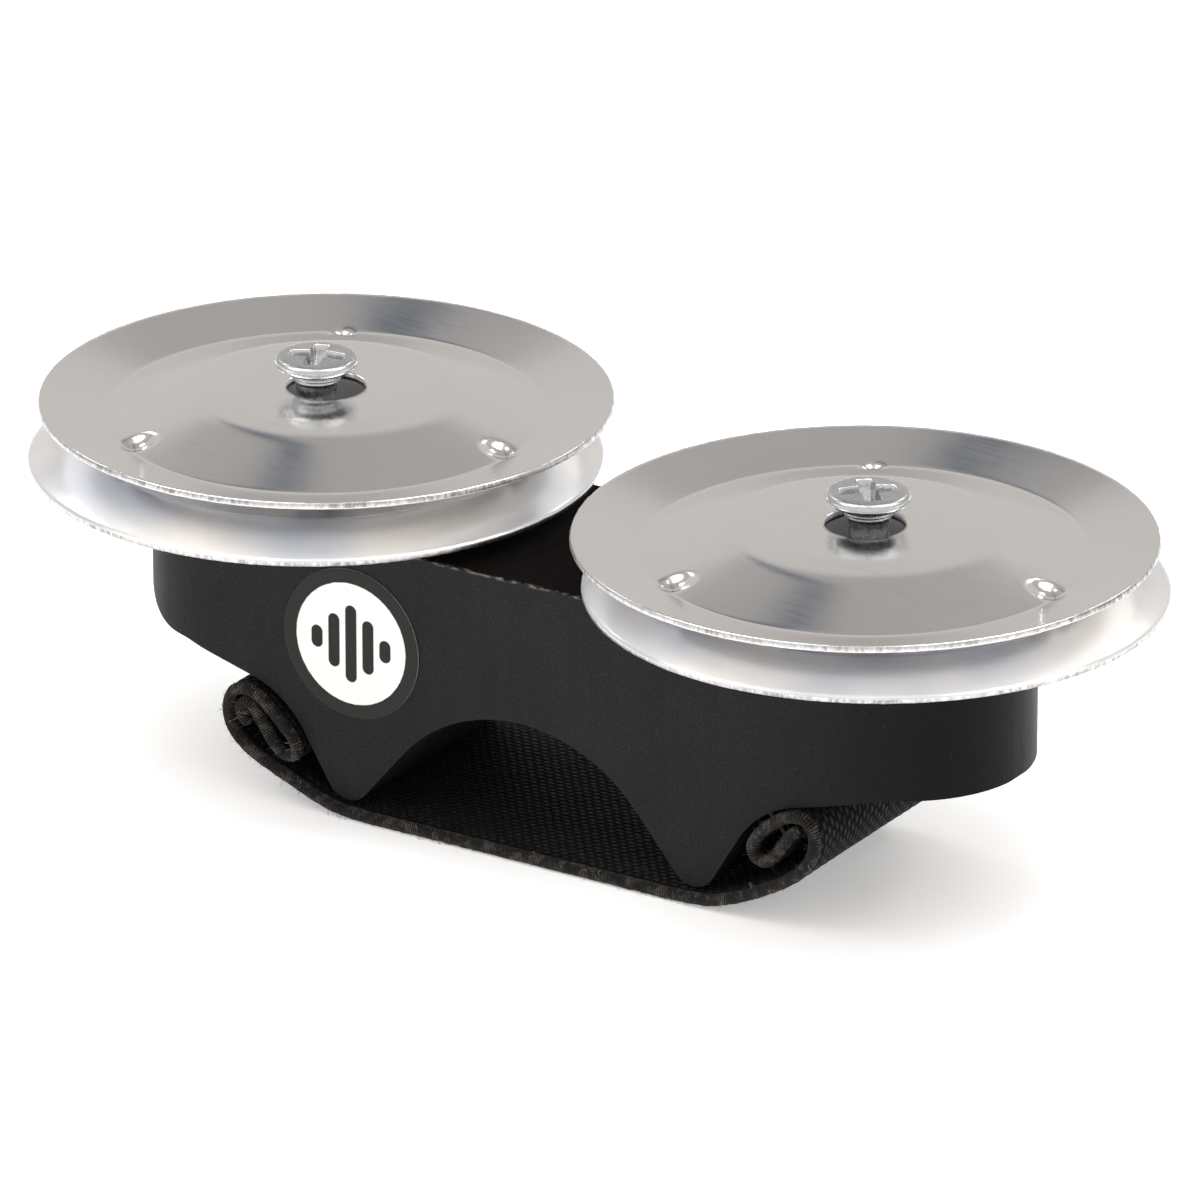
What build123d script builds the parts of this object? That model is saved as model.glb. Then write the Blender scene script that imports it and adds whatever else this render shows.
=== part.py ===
"""Finger jingle set: a wooden block worn on two fingers, with two pairs of loose steel jingles.

Millimetres. X runs along the block, -Y is the front face with the round label, +Z is up.
The origin is under the middle of the strap, on the surface the set stands on.
"""
import os
from math import cos, radians, tan

from build123d import *

# wooden block
block_depth = 22.6
block_half_length = 43.1
block_height = 24.1
foot_gap = 0.35            # between the feet and the strap
arch_radius = 15.5
arch_side_angle = 50.0     # straight sides of the finger arch, from the horizontal
arch_top_depth = 13.05     # top face to the top of the arch
foot_x = 17.9              # where the sides of a foot would meet
foot_tip_radius = 2.2
outer_side_angle = 59.0    # outer side of a foot, from the horizontal
outer_hollow_radius = 9.0
shoulder_x = 24.0          # where a foot's outer side would meet the wing
wing_slope = 0.275         # rise of the wing's underside, per millimetre outwards
wing_x = 36.0              # where the underside levels off at the right end
wing_bend_radius = 12.0
wing_end_rise = 0.2
wing_end_radius = 1.2
left_wing_x = 34.5         # the left end is rounded off much more than the right one
left_bend_radius = 6.0
left_end_rise = 0.43
left_end_radius = 7.6
top_edge_radius = 0.5

# elastic strap
strap_width = 25.0
strap_thickness = 1.15

# screws
screw_x = 28.0
head_radius = 3.65
head_dome = 0.25
head_edge = 0.8
head_cone = 1.6
shank_radius = 1.75
screw_length = 23.4
thread_length = 11.0
thread_pitch = 1.4
thread_radius = 2.0
thread_core = 1.35
screw_hole_clearance = 0.05
recess_width = 1.15
recess_radius = 2.3
recess_depth = 1.9

# jingles: heights are above the outer edge of the rim, on the outer face
sheet = 0.6
jingle_radius = 25.0
hole_radius = 3.5
crease_radius = 19.2
rim_flare = 1.5
crown_radius = 11.8
crown_height = 0.55
hole_height = 0.9
dimple_ring = 18.0
dimple_ball = 2.6
dimple_depth = 0.82
dimple_angle = 119.0
rim_to_rim = 5.95          # between the outer faces of a pair, at their edges

# staples
wire_radius = 0.35
crown_length = 8.0
staple_bend = 0.8
staple_y = 5.5
staple_leg = 6.8

# label
label_radius = 6.9
label_thickness = 0.15
label_x, label_z = -17.1, 16.25

foot_z = strap_thickness + foot_gap
block_top = foot_z + block_height
front_y = -block_depth / 2

# one line for each side: screw head top, upper jingle's rim edge, and the sideways play of both
# jingles, because loose jingles never hang quite centred
sides = {
    "left": dict(x=-screw_x, head_top=block_top + 11.55, rim=block_top + 7.4,
                 upper_shift=(0.4, 0.9), lower_shift=(-0.35, 0.3)),
    "right": dict(x=screw_x, head_top=block_top + 10.85, rim=block_top + 7.1,
                  upper_shift=(0.25, -0.9), lower_shift=(0.35, 0.8)),
}

os.makedirs("parts", exist_ok=True)


def underside_points(level_x, end_rise):
    """Corners of one half of the block's underside before rounding, from the arch outwards."""
    foot_slope = tan(radians(arch_side_angle))
    outer_slope = tan(radians(outer_side_angle))
    arch_corner = block_top - arch_top_depth + arch_radius * (1 / cos(radians(arch_side_angle)) - 1)
    foot_corner = arch_corner - foot_slope * foot_x
    shoulder_z = foot_corner + outer_slope * (shoulder_x - foot_x)
    level_z = shoulder_z + wing_slope * (level_x - shoulder_x)
    return [(0, arch_corner), (foot_x, foot_corner), (shoulder_x, shoulder_z), (level_x, level_z),
            (block_half_length, level_z + end_rise)]


def screw_axis(side):
    return Axis((side["x"], 0, 0), (0, 0, 1))


# ---- staples, made first because the strap and the block are pierced by them
def staple_path(root, direction, y):
    """U-shaped path of one staple: root is the middle of its crown, direction points up its legs."""
    reach = Vector(*direction).normalized() * staple_leg
    across = Vector(0, crown_length / 2, 0)
    middle = Vector(root[0], y, root[1])
    return [middle - across + reach, middle - across, middle + across, middle + across + reach]


staple_roots = {
    "left": dict(root=(-25.6, 6.0), direction=(1, 0, 1)),
    "right": dict(root=(26.4, 6.9), direction=(-1, 0, 1.15)),
}
staples = {}
for name, place in staple_roots.items():
    with BuildPart() as staple_pair:
        for y in (-staple_y, staple_y):
            corners = staple_path(place["root"], place["direction"], y)
            with BuildLine():
                bent_wire = FilletPolyline(*corners, radius=staple_bend)
            with BuildSketch(Plane(origin=bent_wire @ 0, z_dir=bent_wire % 0)):
                Circle(wire_radius)
            sweep(path=bent_wire)
    staple_pair.part.label = f"{name}_staples"
    staples[name] = staple_pair.part
    export_step(staple_pair.part, f"parts/{name}_staples.step")

# ---- wooden block
arch_point, *right_half = underside_points(wing_x, wing_end_rise)
left_half = underside_points(left_wing_x, left_end_rise)[1:]
mirrored = [(-x, z) for x, z in reversed(left_half)]
foot_radii = [outer_hollow_radius, foot_tip_radius, arch_radius, foot_tip_radius, outer_hollow_radius]

with BuildPart() as body_block:
    with BuildSketch(Plane.XY.offset(foot_z - 1)):
        SlotOverall(2 * block_half_length, block_depth)
    extrude(amount=block_height + 1)
    with BuildSketch(Plane.XZ) as side_profile:
        with BuildLine():
            underside = FilletPolyline(
                (-block_half_length, block_top), *mirrored, arch_point, *right_half,
                (block_half_length, block_top),
                radius=[left_end_radius, left_bend_radius, *foot_radii, wing_bend_radius, wing_end_radius])
            Line(underside @ 1, underside @ 0)
        make_face()
    extrude(amount=block_depth, both=True, mode=Mode.INTERSECT)
    top_edges = body_block.faces().sort_by(Axis.Z)[-1].edges()
    fillet(top_edges, top_edge_radius)
    for side in sides.values():
        tip_z = side["head_top"] - screw_length
        with BuildSketch(Plane(origin=(side["x"], 0, block_top))):
            Circle(thread_radius + screw_hole_clearance)
        extrude(amount=tip_z - block_top - 0.5, mode=Mode.SUBTRACT)
    for pair in staples.values():
        add(pair, mode=Mode.SUBTRACT)
body_block.part.label = "body_block"
export_step(body_block.part, "parts/body_block.step")

# ---- round label on the front face
with BuildPart() as round_label:
    with BuildSketch(Plane(origin=(label_x, front_y, label_z), x_dir=(1, 0, 0), z_dir=(0, -1, 0))):
        Circle(label_radius)
    extrude(amount=label_thickness)
round_label.part.label = "round_label"
export_step(round_label.part, "parts/round_label.step")

# ---- elastic strap: one length of webbing, its ends rolled under the wings
middle_z = strap_thickness / 2
strap_route = [
    (-27.6, 6.2), (-28.3, 7.7), (-27.0, 8.0), (-23.4, 3.95), (-21.9, 5.2), (-27.3, 10.15),
    (-29.6, 10.1), (-30.1, 4.9), (-18.9, middle_z),
    (20.0, middle_z), (29.8, 5.4), (30.7, 10.5), (28.5, 10.6), (23.0, 6.95), (24.4, 4.95),
    (28.05, 8.75), (28.9, 8.1),
]
strap_radii = [
    0.75, 0.75, 0.75, 0.75, 1.6, 1.6, 2.6, 10.0, 14.0, 3.6, 1.2, 1.2, 0.95, 0.95, 0.6,
]
with BuildPart() as finger_strap:
    with BuildSketch(Plane.XZ):
        with BuildLine() as strap_line:
            FilletPolyline(*strap_route, radius=strap_radii)
            offset(amount=strap_thickness / 2, side=Side.BOTH)
        make_face()
    extrude(amount=strap_width / 2, both=True)
    for pair in staples.values():
        add(pair, mode=Mode.SUBTRACT)
finger_strap.part.label = "finger_strap"
export_step(finger_strap.part, "parts/finger_strap.step")

# ---- countersunk cross-head screws
def screw_outline(side):
    """Half section of one screw, from the top of its head down to its point."""
    x, top = side["x"], side["head_top"]
    rim_z = top - head_dome
    cone_z = rim_z - head_edge
    neck_z = cone_z - head_cone
    tip_z = top - screw_length
    thread_z = tip_z + thread_length
    turns = int(thread_length / thread_pitch) - 1
    ridges = []
    for turn in range(turns):
        crest = thread_z - (turn + 0.5) * thread_pitch
        ridges += [(x + thread_core, crest + 0.35), (x + thread_radius, crest), (x + thread_core, crest - 0.35)]
    return [(x + head_radius, rim_z), (x + head_radius, cone_z), (x + shank_radius, neck_z),
            (x + shank_radius, thread_z + 0.4), (x + thread_core, thread_z), *ridges, (x, tip_z)]


for name, side in sides.items():
    outline = screw_outline(side)
    with BuildPart() as screw:
        with BuildSketch(Plane.XZ):
            with BuildLine():
                crown = ThreePointArc(
                    (side["x"], side["head_top"]),
                    (side["x"] + head_radius * 0.6, side["head_top"] - head_dome * 0.36), outline[0])
                Polyline(*outline)
                Line(outline[-1], crown @ 0)
            make_face()
        revolve(axis=screw_axis(side))
        with BuildSketch(Plane((side["x"], 0, side["head_top"]))):
            for angle in (20, 110):
                SlotOverall(2 * recess_radius, recess_width, rotation=angle)
        extrude(amount=-recess_depth, taper=12, mode=Mode.SUBTRACT)
    screw.part.label = f"{name}_screw"
    export_step(screw.part, f"parts/{name}_screw.step")


# ---- sheet-steel jingles
def half_section(plane, thickness):
    """Half section of a jingle, thick enough for a sheet or for the space under it."""
    with BuildSketch(plane) as section:
        with BuildLine():
            FilletPolyline(
                (hole_radius, hole_height), (8.0, hole_height - 0.06), (crown_radius, crown_height),
                (crease_radius, -rim_flare), (jingle_radius, 0),
                radius=[25.0, 14.0, 0.9])
            offset(amount=thickness, side=Side.RIGHT)
        make_face()
    return section.sketch


def ball_ring(centre, height, radius):
    """Three balls over the crease: the punch that presses the dimples, or their outside."""
    with BuildPart() as balls:
        with Locations(centre + Vector(0, 0, height)):
            with PolarLocations(dimple_ring, 3, start_angle=dimple_angle):
                Sphere(radius)
    return balls.part


for name, side in sides.items():
    places = {
        "upper": (side["rim"], side["upper_shift"], 1),
        "lower": (side["rim"] - rim_to_rim, side["lower_shift"], -1),
    }
    for level, (rim_z, shift, up) in places.items():
        centre = Vector(side["x"] + shift[0], shift[1], rim_z)
        spindle = Axis(centre, (0, 0, 1))
        # the lower jingle is the same pressing turned over
        lathe = Plane(origin=centre, x_dir=(1, 0, 0), z_dir=(0, -up, 0))
        with BuildPart() as under_space:
            add(half_section(lathe, sheet + dimple_depth + 0.5))
            revolve(axis=spindle)
        punch_height = up * (dimple_ball - rim_flare - dimple_depth)
        bosses = ball_ring(centre, punch_height, dimple_ball + sheet) & under_space.part
        with BuildPart() as jingle:
            add(half_section(lathe, sheet))
            revolve(axis=spindle)
            add(bosses)
            add(ball_ring(centre, punch_height, dimple_ball), mode=Mode.SUBTRACT)
        jingle.part.label = f"{name}_{level}_jingle"
        export_step(jingle.part, f"parts/{name}_{level}_jingle.step")
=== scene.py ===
import bpy
import bmesh
import math
import random
from mathutils import Matrix, Vector, noise


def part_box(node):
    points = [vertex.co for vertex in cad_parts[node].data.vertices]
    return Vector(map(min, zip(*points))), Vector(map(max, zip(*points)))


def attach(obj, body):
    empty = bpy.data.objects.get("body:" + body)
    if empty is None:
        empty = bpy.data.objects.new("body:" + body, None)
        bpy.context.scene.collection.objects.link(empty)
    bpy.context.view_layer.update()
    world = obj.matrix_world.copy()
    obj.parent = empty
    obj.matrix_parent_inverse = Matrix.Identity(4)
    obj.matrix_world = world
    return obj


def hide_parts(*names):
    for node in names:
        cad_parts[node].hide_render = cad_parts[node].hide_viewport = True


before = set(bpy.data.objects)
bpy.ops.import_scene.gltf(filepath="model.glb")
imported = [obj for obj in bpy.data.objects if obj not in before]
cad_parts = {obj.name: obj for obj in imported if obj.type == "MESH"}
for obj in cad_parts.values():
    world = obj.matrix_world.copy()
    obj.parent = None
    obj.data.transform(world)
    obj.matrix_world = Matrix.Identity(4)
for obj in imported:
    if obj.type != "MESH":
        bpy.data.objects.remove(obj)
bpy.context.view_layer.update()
mm = 0.001
print("frame loaded")


# shared helpers

def makeMesh(name, points, faces, materials, faceSlots=None):
    mesh = bpy.data.meshes.new(name)
    mesh.from_pydata([Vector(p) * mm for p in points], [], faces)
    for material in materials:
        mesh.materials.append(material)
    if faceSlots:
        mesh.polygons.foreach_set("material_index", faceSlots)
    mesh.polygons.foreach_set("use_smooth", [True] * len(mesh.polygons))
    mesh.update()
    piece = bpy.data.objects.new(name, mesh)
    bpy.context.scene.collection.objects.link(piece)
    return piece


def roundedLine(corners, radii, step):
    # a run of straight lines with round corners, as evenly spaced points
    line = [Vector(corners[0])]
    for before, corner, after, radius in zip(corners, corners[1:], corners[2:], radii):
        corner = Vector(corner)
        back, ahead = (Vector(before) - corner).normalized(), (Vector(after) - corner).normalized()
        half = math.acos(max(-1, min(1, back.dot(ahead)))) / 2
        reach = radius / math.tan(half)
        centre = corner + (back + ahead).normalized() * radius / math.sin(half)
        first, last = corner + back * reach - centre, corner + ahead * reach - centre
        turn = first.angle_signed(last) * -1
        count = max(3, math.ceil(abs(turn) * radius / step))
        for i in range(count + 1):
            line.append(centre + Matrix.Rotation(turn * i / count, 2) @ first)
    line.append(Vector(corners[-1]))
    points = [line[0]]
    for target in line[1:]:
        gap = target - points[-1]
        pieces = math.ceil(gap.length / step * 0.999)
        start = points[-1].copy()
        points += [start + gap * (i + 1) / pieces for i in range(pieces)] if pieces > 1 else [target]
    return points


def throughPoints(marks, step):
    # a smooth line through given marks, evenly spaced
    marks = [Vector(m) for m in marks]
    ends = [2 * marks[0] - marks[1]] + marks + [2 * marks[-1] - marks[-2]]
    fine = []
    for p0, p1, p2, p3 in zip(ends, ends[1:], ends[2:], ends[3:]):
        for i in range(24):
            t = i / 24
            fine.append(0.5 * ((2 * p1) + (p2 - p0) * t + (2 * p0 - 5 * p1 + 4 * p2 - p3) * t ** 2
                               + (3 * p1 - p0 - 3 * p2 + p3) * t ** 3))
    fine.append(marks[-1])
    travel = [0.0]
    for a, b in zip(fine, fine[1:]):
        travel.append(travel[-1] + (b - a).length)
    count = round(travel[-1] / step)
    points, at = [], 0
    for i in range(count + 1):
        want = travel[-1] * i / count
        while at < len(fine) - 2 and travel[at + 1] < want:
            at += 1
        share = (want - travel[at]) / max(1e-9, travel[at + 1] - travel[at])
        points.append(fine[at].lerp(fine[at + 1], share))
    return points, travel[-1]


def smoothStep(low, high, value):
    t = max(0.0, min(1.0, (value - low) / (high - low)))
    return t * t * (3 - 2 * t)


class Paint:
    # a material and its nodes
    def __init__(self, name, **sockets):
        self.material = bpy.data.materials.new(name)
        self.material.use_nodes = True
        self.tree = self.material.node_tree
        self.shader = self.tree.nodes["Principled BSDF"]
        for key, value in sockets.items():
            self.shader.inputs[key.replace("_", " ")].default_value = value

    def add(self, kind, links=None, values=None, **settings):
        node = self.tree.nodes.new(kind)
        for key, value in settings.items():
            setattr(node, key, value)
        for key, value in (values or {}).items():
            node.inputs[key].default_value = value
        for key, source in (links or {}).items():
            self.tree.links.new(source, node.inputs[key])
        return node

    def place(self, scale=(1, 1, 1), turn=(0, 0, 0)):
        spot = self.add("ShaderNodeTexCoord").outputs["Object"]
        return self.add("ShaderNodeMapping", {"Vector": spot},
                        {"Scale": scale, "Rotation": turn}).outputs["Vector"]

    def grain(self, size, scale=(1, 1, 1), turn=(0, 0, 0), detail=3.0, roughness=0.55):
        # noise with features about size millimetres across
        values = {"Scale": 1 / (size * mm), "Detail": detail, "Roughness": roughness}
        return self.add("ShaderNodeTexNoise", {"Vector": self.place(scale, turn)}, values).outputs["Fac"]

    def span(self, source, low, high, toLow=0.0, toHigh=1.0):
        values = {"From Min": low, "From Max": high, "To Min": toLow, "To Max": toHigh}
        return self.add("ShaderNodeMapRange", {"Value": source}, values).outputs["Result"]

    def work(self, a, b, operation="ADD"):
        node = self.add("ShaderNodeMath", operation=operation)
        for socket, value in zip(node.inputs, (a, b)):
            if isinstance(value, (int, float)):
                socket.default_value = value
            else:
                self.tree.links.new(value, socket)
        return node.outputs[0]

    def fromMiddle(self, source):
        # distance from the middle of each repeat, 0 to a half
        return self.work(self.work(self.work(source, 0, "FRACT"), 0.5, "SUBTRACT"), 0, "ABSOLUTE")

    def blend(self, share, colourA, colourB):
        node = self.add("ShaderNodeMix", {"Factor": share}, data_type="RGBA")
        for socket, value in ((node.inputs[6], colourA), (node.inputs[7], colourB)):
            if isinstance(value, tuple):
                socket.default_value = (*value, 1)
            else:
                self.tree.links.new(value, socket)
        return node.outputs[2]

    def bump(self, height, strength, distance, onTop=None):
        links = {"Height": height}
        if onTop is not None:
            links["Normal"] = onTop
        values = {"Strength": strength, "Distance": distance * mm}
        return self.add("ShaderNodeBump", links, values).outputs["Normal"]

    def drive(self, **sources):
        for key, source in sources.items():
            self.tree.links.new(source, self.shader.inputs[key.replace("_", " ")])
        return self.material


# camera, set where a long lens looks down on the front left

view = dict(turn=32.2, tilt=22.3, distance=1138.0, lens=396.0, target=(1.1, 0.0, 20.35))


def placeCamera():
    turn, tilt = math.radians(view["turn"]), math.radians(view["tilt"])
    back = Vector((math.sin(turn) * math.cos(tilt), -math.cos(turn) * math.cos(tilt), math.sin(tilt)))
    camera = bpy.data.objects.new("camera", bpy.data.cameras.new("camera"))
    bpy.context.scene.collection.objects.link(camera)
    camera.location = (Vector(view["target"]) + back * view["distance"]) * mm
    camera.rotation_euler = (-back).to_track_quat("-Z", "Y").to_euler()
    camera.data.lens = view["lens"]
    camera.data.sensor_width = 36
    camera.data.clip_start, camera.data.clip_end = 0.01, 20
    bpy.context.scene.camera = camera


placeCamera()
bpy.context.scene.view_settings.view_transform = "Standard"
print("camera placed")


# studio: a white sweep, a pale backdrop, a greyer ceiling with one dark gap, and soft boxes

studio = dict(
    floorHalf=1500.0, tableGlow=0.34,
    backdrop=0.575, ceiling=0.385, ceilingFrom=(31.0, 38.0),
    front=0.86, frontBlend=(-0.25, 0.15),
    gapTurn=-8.2, gapHalf=2.15, gapDepth=0.72, gapFrom=(30.0, 35.0), gapTo=(62.0, 70.0),
    warmTint=(1.03, 0.985, 0.948, 1), gapTint=(0.55, 0.84, 1.25, 1),
    boxes=[
        dict(name="leftBox", turn=-92, tilt=62, away=1050, size=(420, 800), power=3.9),
        dict(name="rightBox", turn=92, tilt=62, away=1050, size=(420, 800), power=4.4),
        dict(name="leftSpark", turn=-36, tilt=41, away=900, size=(110, 150), power=0.3),
        dict(name="rightSpark", turn=36, tilt=41, away=900, size=(110, 150), power=0.3),
    ],
)


def studioDirection(turn, tilt):
    # turn is measured from straight behind the object, seen from the camera, to the right
    turn, tilt = math.radians(turn - view["turn"]), math.radians(tilt)
    return Vector((math.sin(turn) * math.cos(tilt), math.cos(turn) * math.cos(tilt), math.sin(tilt)))


def buildWorld():
    world = bpy.data.worlds.new("studio")
    world.use_nodes = True
    bpy.context.scene.world = world
    tree = world.node_tree
    sight = tree.nodes.new("ShaderNodeTexCoord").outputs["Generated"]

    def along(direction):
        node = tree.nodes.new("ShaderNodeVectorMath")
        node.operation = "DOT_PRODUCT"
        tree.links.new(sight, node.inputs[0])
        node.inputs[1].default_value = direction
        return node.outputs["Value"]

    def ease(source, low, high, toLow, toHigh):
        node = tree.nodes.new("ShaderNodeMapRange")
        node.interpolation_type = "SMOOTHSTEP"
        tree.links.new(source, node.inputs["Value"])
        for key, value in zip(("From Min", "From Max", "To Min", "To Max"), (low, high, toLow, toHigh)):
            node.inputs[key].default_value = value
        return node.outputs["Result"]

    def work(operation, a, b):
        node = tree.nodes.new("ShaderNodeMath")
        node.operation = operation
        for socket, value in zip(node.inputs, (a, b)):
            if isinstance(value, (int, float)):
                socket.default_value = value
            else:
                tree.links.new(value, socket)
        return node.outputs[0]

    height = along((0, 0, 1))

    def rise(heights, toLow, toHigh):
        # from one level to another between two heights, given in degrees above the floor
        low, high = (math.sin(math.radians(degrees)) for degrees in studio[heights])
        return ease(height, low, high, toLow, toHigh)

    level = rise("ceilingFrom", studio["backdrop"], studio["ceiling"])
    # the dark gap between two ceiling panels
    sideways = work("ABSOLUTE", along(studioDirection(studio["gapTurn"] + 90, 0)), 0)
    halfGap = math.radians(studio["gapHalf"])
    inGap = ease(sideways, math.sin(halfGap * 0.45), math.sin(halfGap), 1, 0)
    inGap = work("MULTIPLY", inGap, rise("gapFrom", 0, 1))
    inGap = work("MULTIPLY", inGap, rise("gapTo", 1, 0))
    shade = work("MULTIPLY", inGap, studio["gapDepth"])
    level = work("MULTIPLY", level, work("SUBTRACT", 1, shade))
    behind = ease(along(studioDirection(0, 0)), *studio["frontBlend"], 0, 1)
    blend = tree.nodes.new("ShaderNodeMix")
    tree.links.new(behind, blend.inputs[0])
    blend.inputs[2].default_value = studio["front"]
    tree.links.new(level, blend.inputs[3])
    tint = tree.nodes.new("ShaderNodeMix")
    tint.data_type = "RGBA"
    tree.links.new(shade, tint.inputs[0])
    tint.inputs[6].default_value = studio["warmTint"]
    tint.inputs[7].default_value = studio["gapTint"]
    background = tree.nodes["Background"]
    tree.links.new(blend.outputs[0], background.inputs["Strength"])
    tree.links.new(tint.outputs[2], background.inputs["Color"])


def buildStudio():
    half = studio["floorHalf"]
    floorPaint = Paint("paperSweep", Roughness=0.9, Specular_IOR_Level=0.1, Emission_Color=(1, 1, 1, 1),
                       Emission_Strength=studio["tableGlow"])
    mottle = floorPaint.grain(90, detail=2)
    floorPaint.drive(Base_Color=floorPaint.blend(mottle, (0.93, 0.93, 0.93), (0.95, 0.95, 0.95)))
    floor = makeMesh("floor", [(-half, -half, 0), (half, -half, 0), (half, half, 0), (-half, half, 0)],
                     [(0, 1, 2, 3)], [floorPaint.material])
    buildWorld()
    for box in studio["boxes"]:
        lamp = bpy.data.lights.new(box["name"], "AREA")
        lamp.shape = "RECTANGLE"
        lamp.size, lamp.size_y = box["size"][0] * mm, box["size"][1] * mm
        lamp.energy = box["power"]
        holder = bpy.data.objects.new(box["name"], lamp)
        bpy.context.scene.collection.objects.link(holder)
        away = studioDirection(box["turn"], box["tilt"])
        holder.location = away * box["away"] * mm
        holder.rotation_euler = (-away).to_track_quat("-Z", "Y").to_euler()


buildStudio()
print("studio built")


# jingles

jingle = dict(
    radius=25.0, hole=3.5, sheet=0.6,
    corners=[(3.5, 0.9), (8.0, 0.84), (11.8, 0.55), (19.2, -1.5), (25.0, 0.0)],
    rounding=[25.0, 10.0, 0.8],
    holeHeight=0.9, spokes=432, step=0.42, nick=0.1, lift=0.04,
    dimpleRing=18.0, dimpleTurn=119.0, dimpleBall=2.4, dimpleDepth=0.58, dimpleLip=0.7,
    buckle=0.035, raggedEdge=0.05, roll=0.3,
)


def steelPaint(name, turn):
    paint = Paint(name, Metallic=1.0)
    cloud = paint.grain(9, detail=3)
    rolled = paint.grain(0.35, scale=(0.03, 1, 1), turn=(0, 0, turn), detail=4)
    hairline = paint.grain(0.16, scale=(0.012, 1, 1), turn=(0, 0, turn + 0.12), detail=2)
    scratch = paint.span(hairline, 0.66, 0.74)
    tone = paint.blend(cloud, (0.86, 0.855, 0.85), (0.90, 0.895, 0.89))
    tone = paint.blend(paint.work(scratch, 0.25, "MULTIPLY"), tone, (0.5, 0.5, 0.51))
    rough = paint.work(paint.span(cloud, 0.3, 0.7, 0.13, 0.17), paint.span(rolled, 0.3, 0.7, 0.0, 0.04))
    normal = paint.bump(rolled, 0.10, 0.02)
    normal = paint.bump(paint.grain(2.6, detail=2), 0.12, 0.05, normal)
    return paint.drive(Base_Color=tone, Roughness=rough, Normal=normal)


def mattSteelHoleShadePaint(name, axis):
    # the inner face of the pressings is the matt side of the sheet, with painted shade round the hole
    paint = Paint(name, Metallic=0.6)
    patch = paint.span(paint.grain(15, detail=2), 0.4, 0.62)
    frost = paint.grain(1.2, detail=2)
    tone = paint.blend(patch, (0.80, 0.82, 0.86), (0.97, 0.95, 0.925))
    away = paint.add("ShaderNodeVectorMath", {0: paint.place((1, 1, 0))}, {1: (axis.x * mm, axis.y * mm, 0)},
                     operation="DISTANCE").outputs["Value"]
    # painted shade: the face is coloured near black within about 10 mm of the hole, where the pressings shade
    # each other
    tone = paint.blend(paint.span(away, 0.0055, 0.0105), (0.05, 0.047, 0.045), tone)
    return paint.drive(Base_Color=tone, Roughness=paint.span(frost, 0.3, 0.7, 0.22, 0.26),
                       Normal=paint.bump(frost, 0.05, 0.02))


def shearedPaint():
    paint = Paint("shearedRim", Metallic=1.0)
    torn = paint.grain(0.4, scale=(1, 1, 0.3), detail=4)
    bright = paint.span(paint.grain(7, detail=2), 0.42, 0.6, 0.1, 0.55)
    tone = paint.blend(paint.span(torn, 0.4, 0.62), (0.28, 0.28, 0.285), (0.76, 0.76, 0.77))
    tone = paint.blend(bright, tone, (0.8, 0.8, 0.8))
    return paint.drive(Base_Color=tone, Roughness=paint.span(torn, 0.3, 0.7, 0.46, 0.3),
                       Normal=paint.bump(torn, 0.7, 0.07))


def dimpleDrop(x, y):
    # how far a pressed dimple pushes the sheet down at a point
    drop = 0.0
    for spoke in range(3):
        angle = math.radians(jingle["dimpleTurn"] + 120 * spoke)
        ring, ball, depth = jingle["dimpleRing"], jingle["dimpleBall"], jingle["dimpleDepth"]
        away = math.hypot(x - ring * math.cos(angle), y - ring * math.sin(angle))
        edge = math.sqrt(ball ** 2 - (ball - depth) ** 2)
        cup = depth - (ball - math.sqrt(max(0.0, ball ** 2 - min(away, ball) ** 2)))
        drop = max(drop, cup * (1 - smoothStep(edge - jingle["dimpleLip"], edge + jingle["dimpleLip"], away)))
    return max(0.0, drop)


def buildJingle(name, node, body, up, seed, paints):
    low, high = (Vector(corner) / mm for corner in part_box(node))
    middle = (low + high) / 2
    rim = high.z - jingle["holeHeight"] if up > 0 else low.z + jingle["holeHeight"] + jingle["lift"]
    face = roundedLine(jingle["corners"], jingle["rounding"], jingle["step"])
    last = len(face) - 1
    along = [(face[min(i + 1, last)] - face[max(i - 1, 0)]).normalized() for i in range(last + 1)]
    inner = [p + Vector((t.y, -t.x)) * jingle["sheet"] for p, t in zip(face, along)]
    # the corners of the sheared rim are broken by a small nick
    outward = along[-1] * jingle["nick"]
    downward = Vector((along[-1].y, -along[-1].x)) * jingle["nick"]
    section = face[:-1] + [face[-1] - outward, face[-1] + downward, inner[-1] - downward, inner[-1] - outward]
    section += inner[-2::-1]
    points = []
    for spoke in range(jingle["spokes"]):
        angle = 2 * math.pi * spoke / jingle["spokes"]
        for index, p in enumerate(section):
            radius, height = p.x, p.y
            if up < 0:
                # the lower pressings curve down towards the rim
                out = max(0.0, (radius - 19.2) / 5.8)
                height -= jingle["roll"] * 4 * out * max(0.0, 1 - out)
            wave = math.sin(2 * angle + seed) + 0.6 * math.sin(3 * angle + 2 * seed)
            height += jingle["buckle"] * smoothStep(8, 25, radius) * wave
            if last <= index <= last + 3:
                ragged = jingle["raggedEdge"]
                radius += ragged * (noise.noise(Vector((angle * 90, seed, index * 0.8))) - 0.35)
                height += 0.5 * ragged * noise.noise(Vector((angle * 60, seed + 9, index * 0.3)))
            x, y = radius * math.cos(angle), radius * math.sin(angle)
            if 14.5 < radius < 21.5:
                height -= dimpleDrop(x, y)
            points.append((middle.x + x, middle.y + y, rim + up * height))
    faces, slots = [], []
    count = len(section)
    for spoke in range(jingle["spokes"]):
        here, there = spoke * count, (spoke + 1) % jingle["spokes"] * count
        for index in range(count):
            after = (index + 1) % count
            quad = (here + index, here + after, there + after, there + index)
            faces.append(quad if up < 0 else quad[::-1])
            sheared = index in (last + 1, count - 1)
            slots.append(1 if sheared else 0 if index <= last else 2)
    piece = makeMesh(name, points, faces, paints, slots)
    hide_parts(node)
    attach(piece, body)


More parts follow.
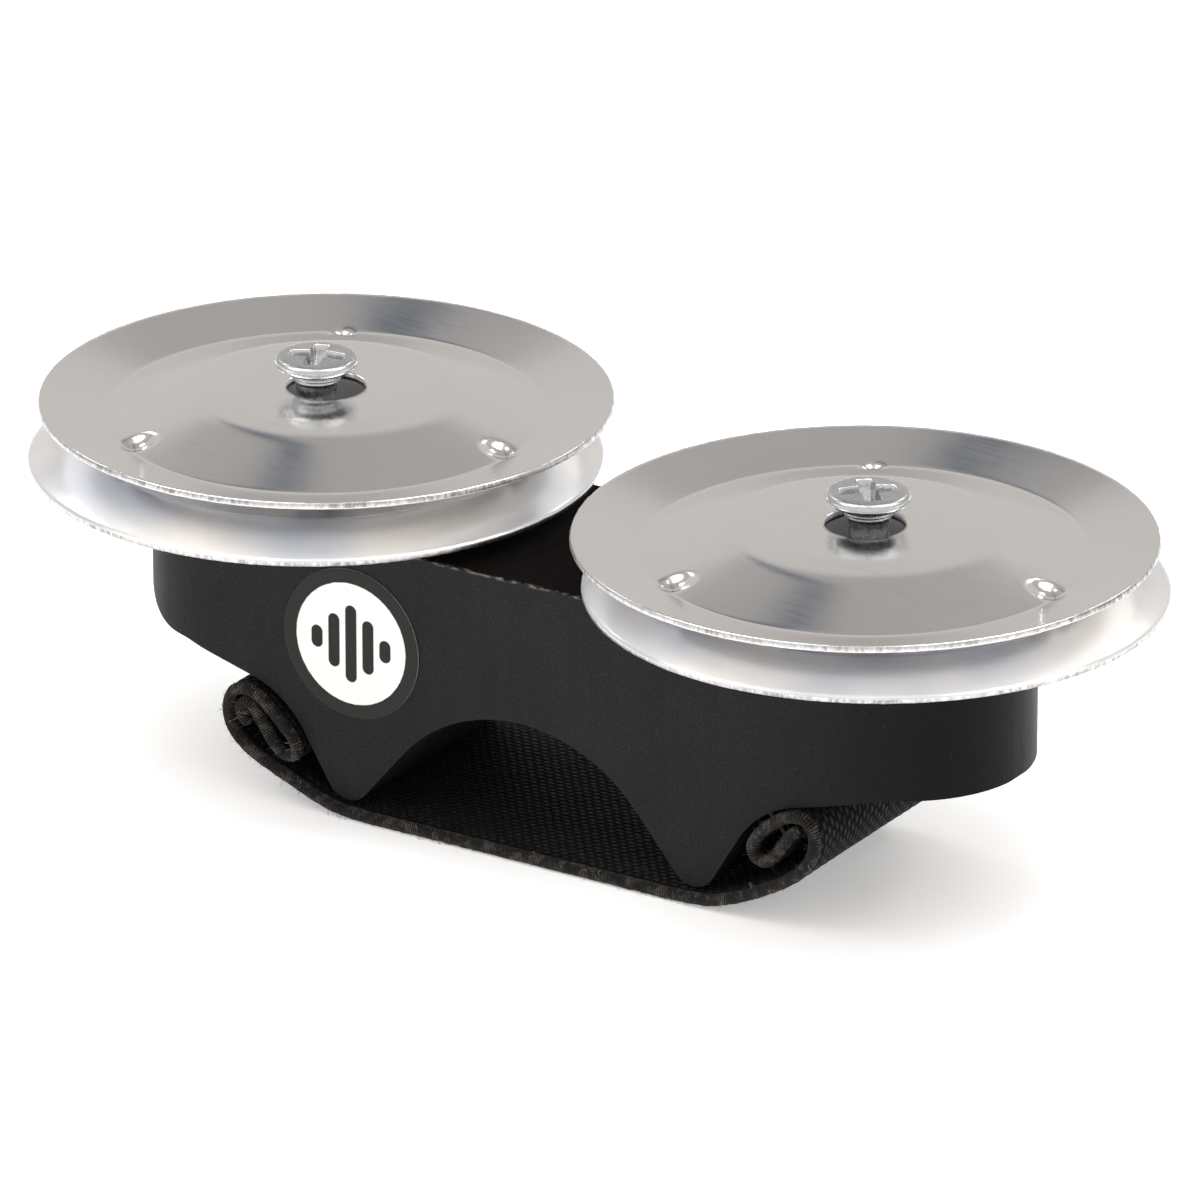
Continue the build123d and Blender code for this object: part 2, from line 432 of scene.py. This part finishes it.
sheared = shearedPaint()
pairs = [("leftUpperJingle", "left_upper_jingle", "left_upper", 1, 1.3, 0.5),
         ("leftLowerJingle", "left_lower_jingle", "left_lower", -1, 2.9, 1.1),
         ("rightUpperJingle", "right_upper_jingle", "right_upper", 1, 4.1, 2.2),
         ("rightLowerJingle", "right_lower_jingle", "right_lower", -1, 0.4, 2.9)]
for name, node, body, up, seed, turn in pairs:
    low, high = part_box(node)
    axis = (Vector(low) + Vector(high)) / 2 / mm
    steel, matt = steelPaint(f"{name}Face", turn), mattSteelHoleShadePaint(f"{name}Inside", axis)
    buildJingle(name, node, body, up, seed, [steel, sheared, matt])
print("jingles pressed")


# wooden block

block = dict(
    half=43.1, depth=22.6, top=25.6, endRadius=11.3,
    route=[(-43.1, 25.6), (-43.1, 13.3), (-34.5, 12.87), (-24.0, 9.984), (-17.9, -0.168), (0.0, 21.164),
           (17.9, -0.168), (24.0, 9.984), (36.0, 13.284), (43.1, 13.3), (43.1, 25.6)],
    rounding=[7.6, 6.0, 9.0, 2.2, 15.5, 2.2, 9.0, 12.0, 0.15],
    topRound=0.5, bottomRound=0.4, endRound=1.15,
)


def rubbedLine(paint, tone):
    # the lacquer is rubbed through along the long top edges
    place = paint.add("ShaderNodeSeparateXYZ", {"Vector": paint.place()})
    upper = paint.span(place.outputs["Z"], 0.02535, 0.02552)
    outer = paint.span(paint.work(place.outputs["Y"], 0, "ABSOLUTE"), 0.01095, 0.01112)
    chips = paint.span(paint.grain(0.4, scale=(0.5, 1, 1), detail=4), 0.47, 0.6, 0, 0.75)
    rubbed = paint.work(paint.work(upper, outer, "MULTIPLY"), chips, "MULTIPLY")
    return paint.blend(rubbed, tone, (0.20, 0.18, 0.165))


def lacquerPaint():
    paint = Paint("blackLacquer", Specular_IOR_Level=0.12)
    pores = paint.grain(0.5, scale=(1, 1, 0.4), detail=4)
    fibre = paint.grain(0.9, scale=(1, 1, 0.07), detail=3)
    cloud = paint.grain(8, detail=3)
    dust = paint.span(paint.grain(0.26, detail=1), 0.70, 0.8)
    place = paint.add("ShaderNodeSeparateXYZ", {"Vector": paint.place()})
    # painted shade: the colour goes darker and warmer towards the rounded right end, where the end turns from the
    # light, and the paint is glossier there
    rightEndShade = paint.span(place.outputs["X"], 0.022, 0.040)
    fleck = paint.span(paint.grain(0.24, detail=2), 0.36, 0.64)
    tone = paint.blend(fleck, (0.0102, 0.0098, 0.0102), (0.0182, 0.0176, 0.0182))
    tone = paint.blend(paint.span(cloud, 0.3, 0.7, 0, 0.35), tone, (0.0118, 0.0112, 0.0113))
    tone = paint.blend(paint.span(fibre, 0.45, 0.72, 0, 0.2), tone, (0.022, 0.0215, 0.022))
    # painted shade on the right end
    tone = paint.blend(paint.work(rightEndShade, 0.9, "MULTIPLY"), tone, (0.0012, 0.0006, 0.0004))
    tone = paint.blend(paint.work(dust, 0.25, "MULTIPLY"), tone, (0.07, 0.066, 0.062))
    rough = paint.span(cloud, 0.3, 0.7, 0.44, 0.54)
    rough = paint.work(rough, paint.work(rightEndShade, 0.06, "MULTIPLY"), "SUBTRACT")
    normal = paint.bump(pores, 0.5, 0.05)
    normal = paint.bump(fibre, 0.15, 0.05, normal)
    return paint.drive(Base_Color=rubbedLine(paint, tone), Roughness=rough, Normal=normal)


def shadedTopLacquerPaint():
    # painted shade: the top is coloured darker than the flanks, for the shade it lies in between the pressings,
    # and it is given a flat, rough finish
    paint = Paint("shadedTopLacquer", Specular_IOR_Level=0.04)
    pores = paint.grain(0.5, scale=(0.3, 1, 1), detail=4)
    # painted shade: near-black top colour
    tone = paint.blend(paint.grain(8, detail=3), (0.0038, 0.0032, 0.0030), (0.0052, 0.0044, 0.0041))
    return paint.drive(Base_Color=rubbedLine(paint, tone), Roughness=paint.span(pores, 0.3, 0.7, 0.74, 0.86),
                       Normal=paint.bump(pores, 0.45, 0.05))


def buildBlock():
    lower = roundedLine(block["route"], block["rounding"], 0.1)
    lower = [p for p in lower if p.y < block["top"] - 0.1]
    straight = block["half"] - block["endRadius"]
    turns = [math.pi / 2 * i / 30 for i in range(31)]
    ends = [straight + block["endRadius"] * math.sin(t) for t in turns]
    count = round(2 * straight / 0.36)
    stations = [-x for x in reversed(ends)] + [straight * (2 * i / count - 1) for i in range(1, count)] + ends
    outline, at = [], 0
    for x in stations:
        while at < len(lower) - 2 and lower[at + 1].x < x:
            at += 1
        gap = lower[at + 1].x - lower[at].x
        share = 0 if gap < 1e-9 else max(0.0, min(1.0, (x - lower[at].x) / gap))
        beyond = max(0.0, abs(x) - straight)
        outline.append((x, math.sqrt(max(0.0, block["endRadius"] ** 2 - beyond ** 2)),
                        lower[at].y + share * (lower[at + 1].y - lower[at].y)))
    build = bmesh.new()
    weight = build.edges.layers.float.new("bevel_weight_edge")
    rows = []
    for x, wide, z in outline:
        if wide < 0.01:
            foot = build.verts.new(Vector((x, 0, z)) * mm)
            head = build.verts.new(Vector((x, 0, block["top"])) * mm)
            rows.append((foot, foot, head, head))
        else:
            rows.append(tuple(build.verts.new(Vector(p) * mm) for p in (
                (x, -wide, z), (x, wide, z), (x, -wide, block["top"]), (x, wide, block["top"]))))
    for here, there in zip(rows, rows[1:]):
        for a, b in ((0, 1), (1, 3), (3, 2), (2, 0)):
            corners = []
            for vert in (here[a], here[b], there[b], there[a]):
                if vert not in corners:
                    corners.append(vert)
            if len(corners) > 2:
                build.faces.new(corners)
    bmesh.ops.recalc_face_normals(build, faces=build.faces)
    for flank in build.faces:
        flank.material_index = 1 if flank.normal.z > 0.9 else 0
    for edge in build.edges:
        middle = (edge.verts[0].co + edge.verts[1].co) / 2
        bend = edge.calc_face_angle(0)
        if bend > 0.4:
            share = smoothStep(31, 37, middle.x / mm)
            size = block["bottomRound"] + (block["endRound"] - block["bottomRound"]) * share
            if middle.z > block["top"] * mm - 1e-6:
                size = block["topRound"]
            edge[weight] = size / 1.2 * smoothStep(0.4, 1.3, bend)
    mesh = bpy.data.meshes.new("woodenBlock")
    build.to_mesh(mesh)
    build.free()
    mesh.materials.append(lacquerPaint())
    mesh.materials.append(shadedTopLacquerPaint())
    mesh.polygons.foreach_set("use_smooth", [True] * len(mesh.polygons))
    piece = bpy.data.objects.new("woodenBlock", mesh)
    bpy.context.scene.collection.objects.link(piece)
    bevel = piece.modifiers.new("sanded", "BEVEL")
    bevel.limit_method, bevel.width, bevel.segments = "WEIGHT", 1.2 * mm, 4
    evened = piece.modifiers.new("evened", "WEIGHTED_NORMAL")
    evened.mode = "FACE_AREA"
    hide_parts("body_block")
    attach(piece, "handle")


buildBlock()
print("block shaped")


# round sticker on the front face

sticker = dict(radius=6.9, field=5.6, thick=0.15, centre=(-17.1, -11.3, 16.25), edge=0.05,
               bars=[(-3.5, 0.45), (-1.75, 1.9), (0.0, 3.0), (1.75, 1.9), (3.5, 0.45)], barHalf=0.58)


def stickerPaint():
    paint = Paint("printedVinyl", Specular_IOR_Level=0.28)
    x, y, z = sticker["centre"]
    away = paint.add("ShaderNodeVectorMath", {0: paint.place((1, 0, 1))}, {1: (x * mm, 0, z * mm)},
                     operation="DISTANCE").outputs["Value"]
    fleck = paint.grain(0.5, detail=3)
    away = paint.work(away, paint.span(fleck, 0.3, 0.7, -0.00002, 0.00002))
    soft, edge = 0.03 * mm, sticker["barHalf"] * mm
    ink = paint.span(away, sticker["field"] * mm - soft, sticker["field"] * mm + soft)
    split = paint.add("ShaderNodeSeparateXYZ", {"Vector": paint.place()})
    # five plain bars with round ends, tallest in the middle
    for offset, tall in sticker["bars"]:
        acrossBar = paint.work(paint.work(split.outputs["X"], (x + offset) * mm, "SUBTRACT"), 0, "ABSOLUTE")
        up = paint.work(paint.work(split.outputs["Z"], z * mm, "SUBTRACT"), 0, "ABSOLUTE")
        beyond = paint.work(paint.work(up, tall * mm, "SUBTRACT"), 0, "MAXIMUM")
        gap = paint.work(paint.work(acrossBar, 2, "POWER"), paint.work(beyond, 2, "POWER"))
        bar = paint.span(paint.work(gap, 0.5, "POWER"), edge - soft, edge + soft, 1, 0)
        ink = paint.work(ink, bar, "MAXIMUM")
    white = paint.blend(fleck, (0.93, 0.93, 0.92), (0.97, 0.97, 0.965))
    black = paint.blend(fleck, (0.0085, 0.0072, 0.0062), (0.0125, 0.0108, 0.0092))
    return paint.drive(Base_Color=paint.blend(ink, white, black),
                       Roughness=paint.span(fleck, 0.3, 0.7, 0.42, 0.5),
                       Normal=paint.bump(paint.grain(1.6, detail=2), 0.12, 0.05))


def stickerRimPaint():
    paint = Paint("cutVinyl", Roughness=0.5)
    fleck = paint.grain(0.3, detail=3)
    return paint.drive(Base_Color=paint.blend(fleck, (0.10, 0.095, 0.09), (0.34, 0.33, 0.32)),
                       Normal=paint.bump(fleck, 0.3, 0.03))


def buildSticker():
    x, y, z = sticker["centre"]
    radius, thick, edge = sticker["radius"], sticker["thick"], sticker["edge"]
    rings = [(radius - 0.02, 0.004), (radius, 0.03), (radius, thick - edge),
             (radius - edge * 0.3, thick - edge * 0.3), (radius - edge, thick)]
    rings += [(radius * share, thick) for share in (0.96, 0.8, 0.6, 0.4, 0.2)]
    spokes, points, faces, slots = 128, [], [], []
    for wide, lift in rings:
        for spoke in range(spokes):
            turn = 2 * math.pi * spoke / spokes
            # a corner of the film has started to lift
            lifted = 0.05 * smoothStep(0.55, 1.0, wide / radius) * smoothStep(0.5, 1.0, math.cos(turn - 2.6))
            points.append((x + wide * math.cos(turn), y - lift - lifted, z + wide * math.sin(turn)))
    for ring in range(len(rings) - 1):
        for spoke in range(spokes):
            a, b = ring * spokes + spoke, ring * spokes + (spoke + 1) % spokes
            faces.append((a, b, b + spokes, a + spokes))
            slots.append(1 if ring < 3 else 0)
    faces.append(tuple(range((len(rings) - 1) * spokes, len(rings) * spokes)))
    faces.append(tuple(reversed(range(spokes))))
    slots += [0, 0]
    piece = makeMesh("sticker", points, faces, [stickerPaint(), stickerRimPaint()], slots)
    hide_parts("round_label")
    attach(piece, "handle")


buildSticker()
print("sticker on")


# screws

screw = dict(
    spread=3.15, cells=64, length=23.4, core=1.45, crest=2.0, pitch=1.4, threadFrom=12.6,
    recess=2.1, armHalf=0.72, armLength=2.5, dome=0.16, swell=0.05,
    side=[(3.15, -0.16), (3.38, -0.22), (3.55, -0.36), (3.64, -0.56), (3.64, -0.78), (3.56, -0.98), (3.38, -1.14),
          (3.0, -1.32), (2.6, -1.52), (2.32, -1.68), (2.24, -1.76), (2.32, -1.86), (2.24, -1.96), (2.1, -2.02),
          (2.02, -2.12), (2.12, -2.22), (2.04, -2.32), (1.9, -2.38), (1.82, -2.5), (1.76, -2.7),
          (1.75, -3.5), (1.75, -4.4), (1.75, -6.0), (1.75, -8.0), (1.75, -10.0), (1.75, -12.0)],
)


def zincPaint():
    paint = Paint("zincPlate", Metallic=1.0)
    frost = paint.grain(0.4, detail=4)
    spangle = paint.grain(1.4, detail=2)
    tone = paint.blend(spangle, (0.52, 0.535, 0.55), (0.72, 0.735, 0.745))
    tone = paint.blend(paint.span(frost, 0.52, 0.72, 0, 0.45), tone, (0.3, 0.31, 0.32))
    return paint.drive(Base_Color=tone, Roughness=paint.span(frost, 0.3, 0.7, 0.2, 0.36),
                       Normal=paint.bump(frost, 0.35, 0.03))


def recessDrop(x, y, crossTurn):
    # depth of the cross recess under a point of the head
    turn = math.radians(crossTurn)
    along, across = x * math.cos(turn) + y * math.sin(turn), y * math.cos(turn) - x * math.sin(turn)
    drop = 0.0
    for a, b in ((along, across), (across, along)):
        wall = smoothStep(0, 0.3, screw["armHalf"] - abs(b) + 0.04)
        floor = max(0.0, min(1.0, (screw["armLength"] - abs(a)) / 1.1))
        drop = max(drop, wall * (0.25 + 0.75 * floor) * smoothStep(0, 0.2, screw["armLength"] - abs(a)))
    well = smoothStep(0, 0.35, 0.95 - math.hypot(x, y))
    return screw["recess"] * max(drop, well)


def buildScrew(name, node, crossTurn, zinc):
    low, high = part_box(node)
    axisX, axisY = (low[0] + high[0]) / 2 / mm, (low[1] + high[1]) / 2 / mm
    top, cells, spread = high[2] / mm, screw["cells"], screw["spread"]
    points, faces = [], []
    for i in range(cells + 1):
        for j in range(cells + 1):
            a, b = 2 * i / cells - 1, 2 * j / cells - 1
            if abs(a) < 1e-9 and abs(b) < 1e-9:
                radius, turn = 0.0, 0.0
            elif abs(a) > abs(b):
                radius, turn = a, math.pi / 4 * b / a
            else:
                radius, turn = b, math.pi / 2 - math.pi / 4 * a / b
            x, y = radius * spread * math.cos(turn), radius * spread * math.sin(turn)
            dome = screw["dome"] * radius ** 2 + screw["swell"] * (smoothStep(0.3, 0.62, abs(radius)) - 1)
            points.append((axisX + x, axisY + y, top - dome - recessDrop(x, y, crossTurn)))
    for i in range(cells):
        for j in range(cells):
            a = i * (cells + 1) + j
            faces.append((a, a + cells + 1, a + cells + 2, a + 1))
    spokes = 4 * cells
    rings = [(r, z, False) for r, z in screw["side"]]
    z = -screw["threadFrom"]
    while z > -screw["length"] + 1.0:
        rings.append((0, z, True))
        z -= 0.175
    rings += [(1.2, -screw["length"] + 0.9, False), (0.5, -screw["length"] + 0.2, False)]
    start = len(points)
    for r, z, threaded in rings:
        for spoke in range(spokes):
            turn = 2 * math.pi * spoke / spokes
            if threaded:
                phase = (z / screw["pitch"] + spoke / spokes) % 1
                r = screw["core"] + (screw["crest"] - screw["core"]) * max(0.0, 1 - abs(phase - 0.5) * 3.2)
            points.append((axisX + r * math.cos(turn), axisY + r * math.sin(turn), top + z))
    for ring in range(len(rings) - 1):
        for spoke in range(spokes):
            a, b = start + ring * spokes + spoke, start + ring * spokes + (spoke + 1) % spokes
            faces.append((a, a + spokes, b + spokes, b))
    points.append((axisX, axisY, top - screw["length"]))
    last = start + (len(rings) - 1) * spokes
    faces += [(last + spoke, len(points) - 1, last + (spoke + 1) % spokes) for spoke in range(spokes)]
    piece = makeMesh(name, points, faces, [zinc])
    weld = bmesh.new()
    weld.from_mesh(piece.data)
    bmesh.ops.remove_doubles(weld, verts=weld.verts, dist=0.02 * mm)
    bmesh.ops.recalc_face_normals(weld, faces=weld.faces)
    weld.to_mesh(piece.data)
    weld.free()
    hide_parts(node)
    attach(piece, "handle")


zinc = zincPaint()
buildScrew("leftScrew", "left_screw", 20.0, zinc)
buildScrew("rightScrew", "right_screw", 41.0, zinc)
print("screws cut")


# elastic strap

strap = dict(
    width=24.2, thick=1.0, step=0.25,
    marks=[(-27.45, 6.6), (-27.95, 7.15), (-28.3, 7.75), (-28.15, 8.4), (-27.55, 8.68), (-26.95, 8.3),
           (-26.25, 7.4), (-25.55, 6.4), (-24.9, 5.5), (-24.05, 4.72), (-23.1, 4.55), (-22.5, 5.1), (-22.7, 5.95),
           (-23.4, 6.85), (-24.3, 7.75), (-25.55, 8.85), (-26.65, 9.6), (-27.85, 9.85), (-28.85, 9.55),
           (-29.4, 8.7), (-29.6, 7.6), (-29.3, 6.3), (-28.5, 5.2), (-27.1, 4.15), (-25.0, 3.2), (-22.8, 2.3),
           (-20.6, 1.45), (-18.4, 0.8), (-16.0, 0.6), (-12.0, 0.575), (-6.0, 0.575), (0.0, 0.575), (6.0, 0.575),
           (12.0, 0.575), (16.5, 0.6), (19.5, 0.85), (21.7, 1.5), (23.7, 2.35), (25.6, 3.35), (27.4, 4.45),
           (28.95, 5.75), (29.85, 7.2), (30.1, 8.6), (29.75, 9.85), (28.75, 10.5), (27.3, 10.25), (25.7, 9.25),
           (24.6, 8.15), (23.95, 7.0), (24.2, 6.05), (25.15, 5.7), (26.2, 6.5), (27.15, 7.9), (27.9, 8.85),
           (28.6, 9.3)],
    cord=0.55, whip=0.23, stitchLong=0.92, stitchWide=0.62,
)


def knitPaint():
    paint = Paint("knittedElastic", Specular_IOR_Level=0.16, Sheen_Weight=0.02, Sheen_Roughness=0.4)
    flat = paint.add("ShaderNodeUVMap", uv_map="clothMap").outputs["UV"]
    wobble = paint.add("ShaderNodeTexNoise", {"Vector": flat}, {"Scale": 1.3, "Detail": 2.0},
                       noise_dimensions="2D").outputs["Color"]
    moved = paint.add("ShaderNodeVectorMath", {0: wobble}, {1: (0.22, 0.22, 0)}, operation="MULTIPLY")
    flat = paint.add("ShaderNodeVectorMath", {0: flat, 1: moved.outputs[0]}, operation="ADD").outputs[0]
    split = paint.add("ShaderNodeSeparateXYZ", {"Vector": flat})
    course = paint.work(split.outputs["X"], 1 / strap["stitchLong"], "MULTIPLY")
    wale = paint.work(split.outputs["Y"], 1 / strap["stitchWide"], "MULTIPLY")
    shift = paint.work(paint.work(paint.work(wale, 0, "FLOOR"), 0.5, "MULTIPLY"), course)
    inCourse, inWale = (paint.span(paint.fromMiddle(part), 0.12, 0.46, 1, 0) for part in (shift, wale))
    loop = paint.work(inCourse, inWale, "MULTIPLY")
    hair = paint.grain(0.14, scale=(1, 0.4, 1), detail=3)
    glintSpots = paint.span(paint.grain(0.2, detail=3), 0.6, 0.78)
    lively = paint.span(paint.grain(1.3, detail=3), 0.44, 0.64, 0.06, 1)
    # the rows beside the front edge catch more light
    reach = paint.add("ShaderNodeSeparateXYZ", {"Vector": paint.place()}).outputs["Y"]
    lively = paint.work(lively, paint.span(reach, -0.0065, -0.0105, 0.55, 1.9), "MULTIPLY")
    raised = paint.work(loop, lively, "MULTIPLY")
    # painted highlight: the loops are coloured lighter, at random and most along the front rows, against
    # near-black gaps
    tone = paint.blend(raised, (0.0006, 0.0005, 0.0005), (0.0105, 0.0098, 0.0094))
    # painted glints: scattered bright spots on the loops
    glint = paint.work(paint.work(glintSpots, loop, "MULTIPLY"), 0.8, "MULTIPLY")
    tone = paint.blend(glint, tone, (0.11, 0.104, 0.098))
    height = paint.work(loop, paint.work(hair, 0.25, "MULTIPLY"))
    return paint.drive(Base_Color=tone, Roughness=paint.span(loop, 0, 1, 0.95, 0.5),
                       Normal=paint.bump(height, 0.9, 0.16))


def whippedPaint():
    paint = Paint("whippedEdge", Specular_IOR_Level=0.2, Sheen_Weight=0.05, Sheen_Roughness=0.4)
    flat = paint.add("ShaderNodeUVMap", uv_map="clothMap").outputs["UV"]
    split = paint.add("ShaderNodeSeparateXYZ", {"Vector": flat})
    turn = paint.work(paint.work(split.outputs["X"], 1 / strap["whip"], "MULTIPLY"), split.outputs["Y"])
    thread = paint.span(paint.fromMiddle(turn), 0, 0.5, 1, 0)
    hair = paint.grain(0.09, detail=3)
    glintPatch = paint.grain(0.8, detail=4)
    tone = paint.blend(thread, (0.0010, 0.0009, 0.0008), (0.030, 0.0272, 0.0245))
    # painted highlight: patches of the thread turns are coloured bright where the whipping catches the light
    lit = paint.work(paint.span(glintPatch, 0.46, 0.64, 0, 0.85), thread, "MULTIPLY")
    tone = paint.blend(lit, tone, (0.19, 0.174, 0.157))
    tone = paint.blend(paint.span(hair, 0.44, 0.6, 0, 0.85), tone, (0.0016, 0.0014, 0.0013))
    return paint.drive(Base_Color=tone, Roughness=paint.span(thread, 0, 1, 0.95, 0.6),
                       Normal=paint.bump(paint.work(thread, paint.work(hair, 0.4, "MULTIPLY")), 0.8, 0.12))


def clothMap(mesh, spots):
    # lays the mesh flat in millimetres, so the stitches keep their size round the rolls
    layer = mesh.uv_layers.new(name="clothMap")
    for loop in mesh.loops:
        layer.data[loop.index].uv = spots[loop.vertex_index]


def strapFrames():
    line, length = throughPoints(strap["marks"], strap["step"])
    frames, travelled = [], 0.0
    for i, p in enumerate(line):
        ahead = (line[min(i + 1, len(line) - 1)] - line[max(i - 1, 0)]).normalized()
        if i:
            travelled += (p - line[i - 1]).length
        frames.append((p, ahead, Vector((-ahead.y, ahead.x)), travelled))
    return frames, length


def buildStrap():
    frames, length = strapFrames()
    half, thick = strap["width"] / 2 - 0.15, strap["thick"]
    across = [-half + 2 * half * j / 56 for j in range(57)]
    points, spots, faces = [], [], []
    loop = len(across) * 2
    for i, (p, ahead, out, travelled) in enumerate(frames):
        for side in (1, -1):
            for j, y in enumerate(across if side > 0 else reversed(across)):
                # ribs across the elastic, and a thinner woven margin beside each edge
                rib = 0.035 * math.sin(2 * math.pi * travelled / 1.84) * math.sin(2 * math.pi * y / 1.24)
                margin = smoothStep(0.0, 1.2, half - abs(y))
                wave = 0.05 * noise.noise(Vector((travelled * 0.25, y * 0.2, 3.0)))
                lift = side * (thick * (0.32 + 0.18 * margin) + rib * margin) + wave
                pinch = 1.0 if 0 < i < len(frames) - 1 else 0.55
                spot = p + out * lift * pinch
                points.append((spot.x, y, max(0.03, spot.y)))
                spots.append((travelled, y + (40 if side < 0 else 0)))
    for i in range(len(frames) - 1):
        for j in range(loop):
            a, b = i * loop + j, i * loop + (j + 1) % loop
            faces.append((a, b, b + loop, a + loop))
    count = len(across)
    for base, order in ((0, 1), ((len(frames) - 1) * loop, -1)):
        for j in range(count - 1):
            faces.append((base + j, base + loop - 1 - j, base + loop - 2 - j, base + j + 1)[::order])
    piece = makeMesh("elasticStrap", points, faces, [knitPaint()])
    clothMap(piece.data, spots)
    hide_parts("finger_strap")
    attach(piece, "handle")
    return piece, length


def buildWhippedEdge(name, y, paint):
    # the edge of the strap, whipped over with thread so that it is a round cord
    frames, length = strapFrames()
    spokes, points, spots, faces = 14, [], [], []
    radius = strap["cord"]
    fine = []
    for here, there in zip(frames, frames[1:]):
        fine += [(here[0].lerp(there[0], k / 2), here[2].lerp(there[2], k / 2).normalized(),
                  here[3] + (there[3] - here[3]) * k / 2) for k in range(2)]
    fine.append((frames[-1][0], frames[-1][2], frames[-1][3]))
    for i, (p, out, travelled) in enumerate(fine):
        taper = 0.35 if i in (0, len(fine) - 1) else 0.8 if i in (1, len(fine) - 2) else 1.0
        for spoke in range(spokes):
            turn = 2 * math.pi * spoke / spokes
            lumps = 0.05 * noise.noise(Vector((travelled * 1.6, turn, y)))
            reach = (radius + lumps) * taper
            spot = p + out * reach * math.cos(turn)
            points.append((spot.x, y + reach * math.sin(turn), max(0.01, spot.y)))
            spots.append((travelled, spoke / spokes))
    for i in range(len(fine) - 1):
        for spoke in range(spokes):
            a, b = i * spokes + spoke, i * spokes + (spoke + 1) % spokes
            faces.append((a, b, b + spokes, a + spokes))
    faces.append(tuple(range(spokes))[::-1])
    faces.append(tuple(range((len(fine) - 1) * spokes, len(fine) * spokes)))
    piece = makeMesh(name, points, faces, [paint])
    build = bmesh.new()
    build.from_mesh(piece.data)
    bmesh.ops.recalc_face_normals(build, faces=build.faces)
    build.to_mesh(piece.data)
    build.free()
    clothMap(piece.data, spots)
    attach(piece, "handle")
    return piece


def fibrePaint(name, dark, pale):
    paint = Paint(name, Roughness=0.7)
    return paint.drive(Base_Color=paint.blend(paint.grain(0.8), dark, pale))


def buildLint(name, seed, count, thick, spread, paint):
    # loose hairs standing off the whipped edge
    frames, length = strapFrames()
    chance = random.Random(seed)
    points, faces = [], []
    for hair in range(count):
        p, ahead, out, travelled = frames[chance.randrange(len(frames))]
        turn = chance.uniform(-0.2, math.pi + 0.2)
        reach = strap["cord"] * 0.9
        root = Vector((p.x + out.x * reach * math.cos(turn), -strap["width"] / 2 - reach * math.sin(turn),
                       p.y + out.y * reach * math.cos(turn)))
        grow = Vector((out.x * math.cos(turn), -math.sin(turn), out.y * math.cos(turn)))
        sway = Vector((chance.uniform(-1, 1), chance.uniform(-0.6, 0.6), chance.uniform(-1, 1))) * 1.1
        long = chance.uniform(*spread)
        bits, start = 6, len(points)
        for bit in range(bits):
            share = bit / (bits - 1)
            spot = root + grow * long * share * (1 - 0.45 * share) + sway * long * share * share * 0.6
            wide = thick * (1 - 0.6 * share)
            for corner in range(3):
                at = 2 * math.pi * corner / 3
                points.append((spot.x + wide * math.cos(at), spot.y + wide * math.sin(at) * 0.6,
                               max(0.03, spot.z + wide * math.sin(at))))
        for bit in range(bits - 1):
            for corner in range(3):
                a, b = start + bit * 3 + corner, start + bit * 3 + (corner + 1) % 3
                faces.append((a, b, b + 3, a + 3))
        end = start + bits * 3
        faces += [(start + 2, start + 1, start), (end - 3, end - 2, end - 1)]
    piece = makeMesh(name, points, faces, [paint])
    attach(piece, "handle")
    return piece


elastic, strapLength = buildStrap()
whipped = whippedPaint()
frontEdge = buildWhippedEdge("frontWhippedEdge", -strap["width"] / 2 + 0.2, whipped)
backEdge = buildWhippedEdge("backWhippedEdge", strap["width"] / 2 - 0.2, whipped)
darkFibre = fibrePaint("darkFibre", (0.006, 0.0055, 0.005), (0.05, 0.047, 0.044))
paleFibre = fibrePaint("paleFibre", (0.25, 0.24, 0.22), (0.6, 0.58, 0.55))
darkHair = buildLint("shortHair", 5, 420, 0.022, (0.25, 0.6), darkFibre)
paleHair = buildLint("paleLint", 12, 26, 0.02, (0.7, 1.6), paleFibre)
print("strap rolled,", round(strapLength, 1), "mm long")


# staples stay as drawn, in blackened wire

def stapleWirePaint():
    paint = Paint("blackenedWire", Metallic=1.0)
    worn = paint.grain(0.5, detail=3)
    return paint.drive(Base_Color=paint.blend(worn, (0.03, 0.03, 0.03), (0.08, 0.078, 0.075)),
                       Roughness=paint.span(worn, 0.3, 0.7, 0.4, 0.6), Normal=paint.bump(worn, 0.2, 0.03))


stapleWire = stapleWirePaint()
for name in ("left_staples", "right_staples"):
    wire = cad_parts[name]
    wire.data.materials.clear()
    wire.data.materials.append(stapleWire)
print("staples blackened")
